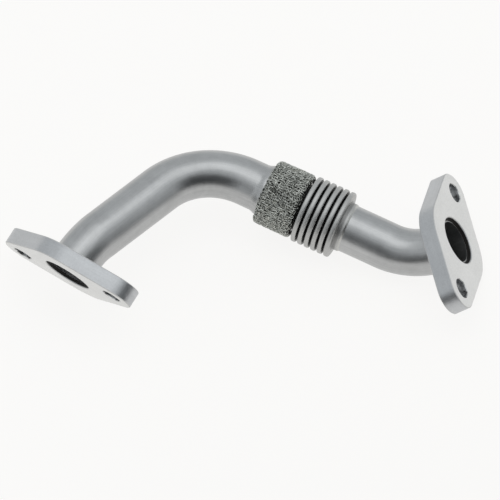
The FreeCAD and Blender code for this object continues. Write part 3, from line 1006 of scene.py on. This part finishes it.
dress(inlet_tube, TUBE_STEEL, INSIDE_PAINTED_SHADE)
dress(outlet_tube, TUBE_STEEL, INSIDE_PAINTED_SHADE)
dress(bellows, BELLOWS_STEEL, INSIDE_PAINTED_SHADE)
dress(ring_core, CORE_PAINTED_SHADE)
for knit in ring_knits:
    dress(knit, WIRE_STEEL)
for bead in (inlet_bead, outlet_bead):
    dress(bead, PORT_WELD_PAINTED_SHADE)
for seam in (inlet_seam, outlet_seam):
    dress(seam, SEAM_STEEL)
for node, place in (("inlet_flange", inlet_flange_place), ("outlet_flange", outlet_flange_place)):
    finish = flange_material(f"blasted_{node}_steel", place)
    for slot in frame["nodes"][node].material_slots:
        slot.material = finish

# %% [markdown]
# The studio. Metal shows what is round it, so the room matters as much as the lamps. The room is an
# even pale grey, a softbox hangs over the pipe, and a dark card leans outwards in front, below the
# camera. A photographer uses such a card to draw a dark band along a shiny tube. The camera doesn't
# see the card. The floor is pale paint. What the camera and the metal see of it is mixed with plain
# white, so the pipe keeps only a faint shadow.

# %% Floor
FLOOR_SIZE = 3.0
FLOOR_WHITE = 0.88
FLOOR_PAINT = (0.95, 0.93, 0.90, 1)
STUDIO_WHITE = (1, 0.995, 0.985, 1)
nothing_selected()
bpy.ops.mesh.primitive_plane_add(size=FLOOR_SIZE, location=(0, 0, min(0, cad_low[2])))
floor = bpy.context.object
floor.name = "studio_floor"
paint, paint_tree, paint_shader = new_material("studio_floor_paint")
paint_shader.inputs["Base Color"].default_value = FLOOR_PAINT
paint_shader.inputs["Roughness"].default_value = 0.9
path = add_node(paint_tree, "LightPath", {})
seen = calc(paint_tree, "MAXIMUM", path.outputs["Is Camera Ray"], path.outputs["Is Glossy Ray"])
seen = calc(paint_tree, "MAXIMUM", seen, path.outputs["Is Transmission Ray"])
white = add_node(paint_tree, "Emission", {"Color": STUDIO_WHITE, "Strength": 1.0})
share = calc(paint_tree, "MULTIPLY", seen, FLOOR_WHITE)
mix = add_node(paint_tree, "MixShader", {0: share, 1: paint_shader.outputs[0], 2: white.outputs[0]})
plug(paint_tree, paint_tree.nodes["Material Output"], {"Surface": mix.outputs[0]})
dress(floor, paint)

# %% Dark card
CARD_FOOT = 0.19
CARD_TOP = 0.6
CARD_HEIGHT = 0.62
CARD_RIGHT = 62
CARD_LEFT = -28
CARD_PAINT = (0.06, 0.062, 0.065, 1)


def on_card(point):
    """Whether a point is in front of the pipe, between the card's two ends."""
    degrees = math.degrees(math.atan2(point.x, -point.y))
    return CARD_LEFT <= degrees <= CARD_RIGHT


nothing_selected()
bpy.ops.mesh.primitive_cone_add(
    vertices=96, radius1=CARD_FOOT, radius2=CARD_TOP, depth=CARD_HEIGHT, end_fill_type="NOTHING",
    location=(0, 0, CARD_HEIGHT / 2),
)
card = bpy.context.object
card.name = "dark_card"
start_editing(card)
pick_points(card, lambda p: not on_card(p))
bpy.ops.mesh.delete(type="VERT")
bpy.ops.object.mode_set(mode="OBJECT")
card.visible_camera = False
card_paint, _, card_shader = new_material("dark_card_paint")
card_shader.inputs["Base Color"].default_value = CARD_PAINT
card_shader.inputs["Roughness"].default_value = 0.9
dress(card, card_paint)

# %% Room and softbox
ROOM_COLOUR = (0.94, 0.975, 1.0, 1)
ROOM_LEVEL = 0.66
ROOM_RISE = 0.08
SOFTBOX_PLACE = (0.05, 0.02, 0.9)
SOFTBOX_WIDTH = 0.9
SOFTBOX_DEPTH = 0.6
SOFTBOX_WATTS = 1.1
world = bpy.data.worlds.new("studio_room")
bpy.context.scene.world = world
world.use_nodes = True
room = world.node_tree
room.nodes.clear()
direction = add_node(room, "TexCoord", {}).outputs["Generated"]
upwards = add_node(room, "SeparateXYZ", {0: direction}).outputs["Z"]
level = calc(room, "MULTIPLY_ADD", calc(room, "MAXIMUM", upwards, 0.0), ROOM_RISE, ROOM_LEVEL)
background = add_node(room, "Background", {"Color": ROOM_COLOUR, "Strength": level})
add_node(room, "OutputWorld", {"Surface": background.outputs[0]})

softbox = bpy.data.lights.new("overhead_softbox", "AREA")
softbox.shape = "RECTANGLE"
softbox.size = SOFTBOX_WIDTH
softbox.size_y = SOFTBOX_DEPTH
softbox.energy = SOFTBOX_WATTS
overhead = bpy.data.objects.new("overhead_softbox", softbox)
overhead.location = SOFTBOX_PLACE
bpy.context.collection.objects.link(overhead)

bpy.context.scene.view_settings.view_transform = "Standard"
